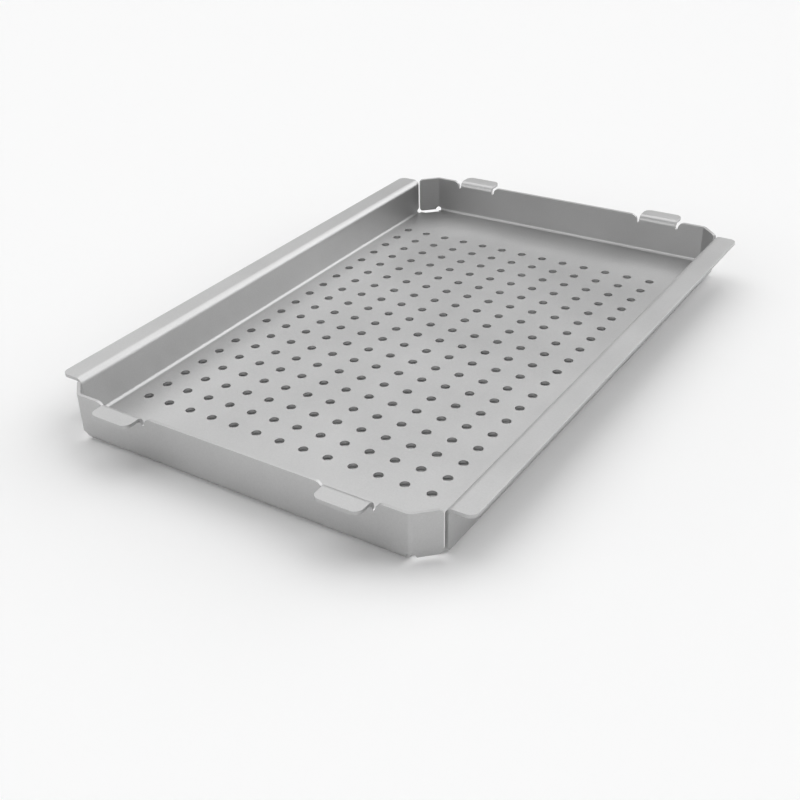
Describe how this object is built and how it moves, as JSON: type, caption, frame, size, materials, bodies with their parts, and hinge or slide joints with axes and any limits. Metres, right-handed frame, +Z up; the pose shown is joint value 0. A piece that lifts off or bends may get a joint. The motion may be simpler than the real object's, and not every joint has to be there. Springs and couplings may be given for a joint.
{
  "type": "autoclave tray",
  "caption": "Shallow rectangular tray folded from perforated aluminium sheet, with flanges along its long sides, angled corner flaps and tabs on its short sides.",
  "frame": {"origin": "middle of the underside, on the surface that the tray rests on", "axes": "+X across the tray towards one flanged long side, +Y along the tray towards one tabbed short side, +Z up out of the open top"},
  "size_m": [0.198, 0.308, 0.0206],
  "materials": {
    "satin_aluminium": "blasted and clear anodised, fine even satin"
  },
  "bodies": {
    "root": {"tray": "satin_aluminium"}
  },
  "joints": []
}
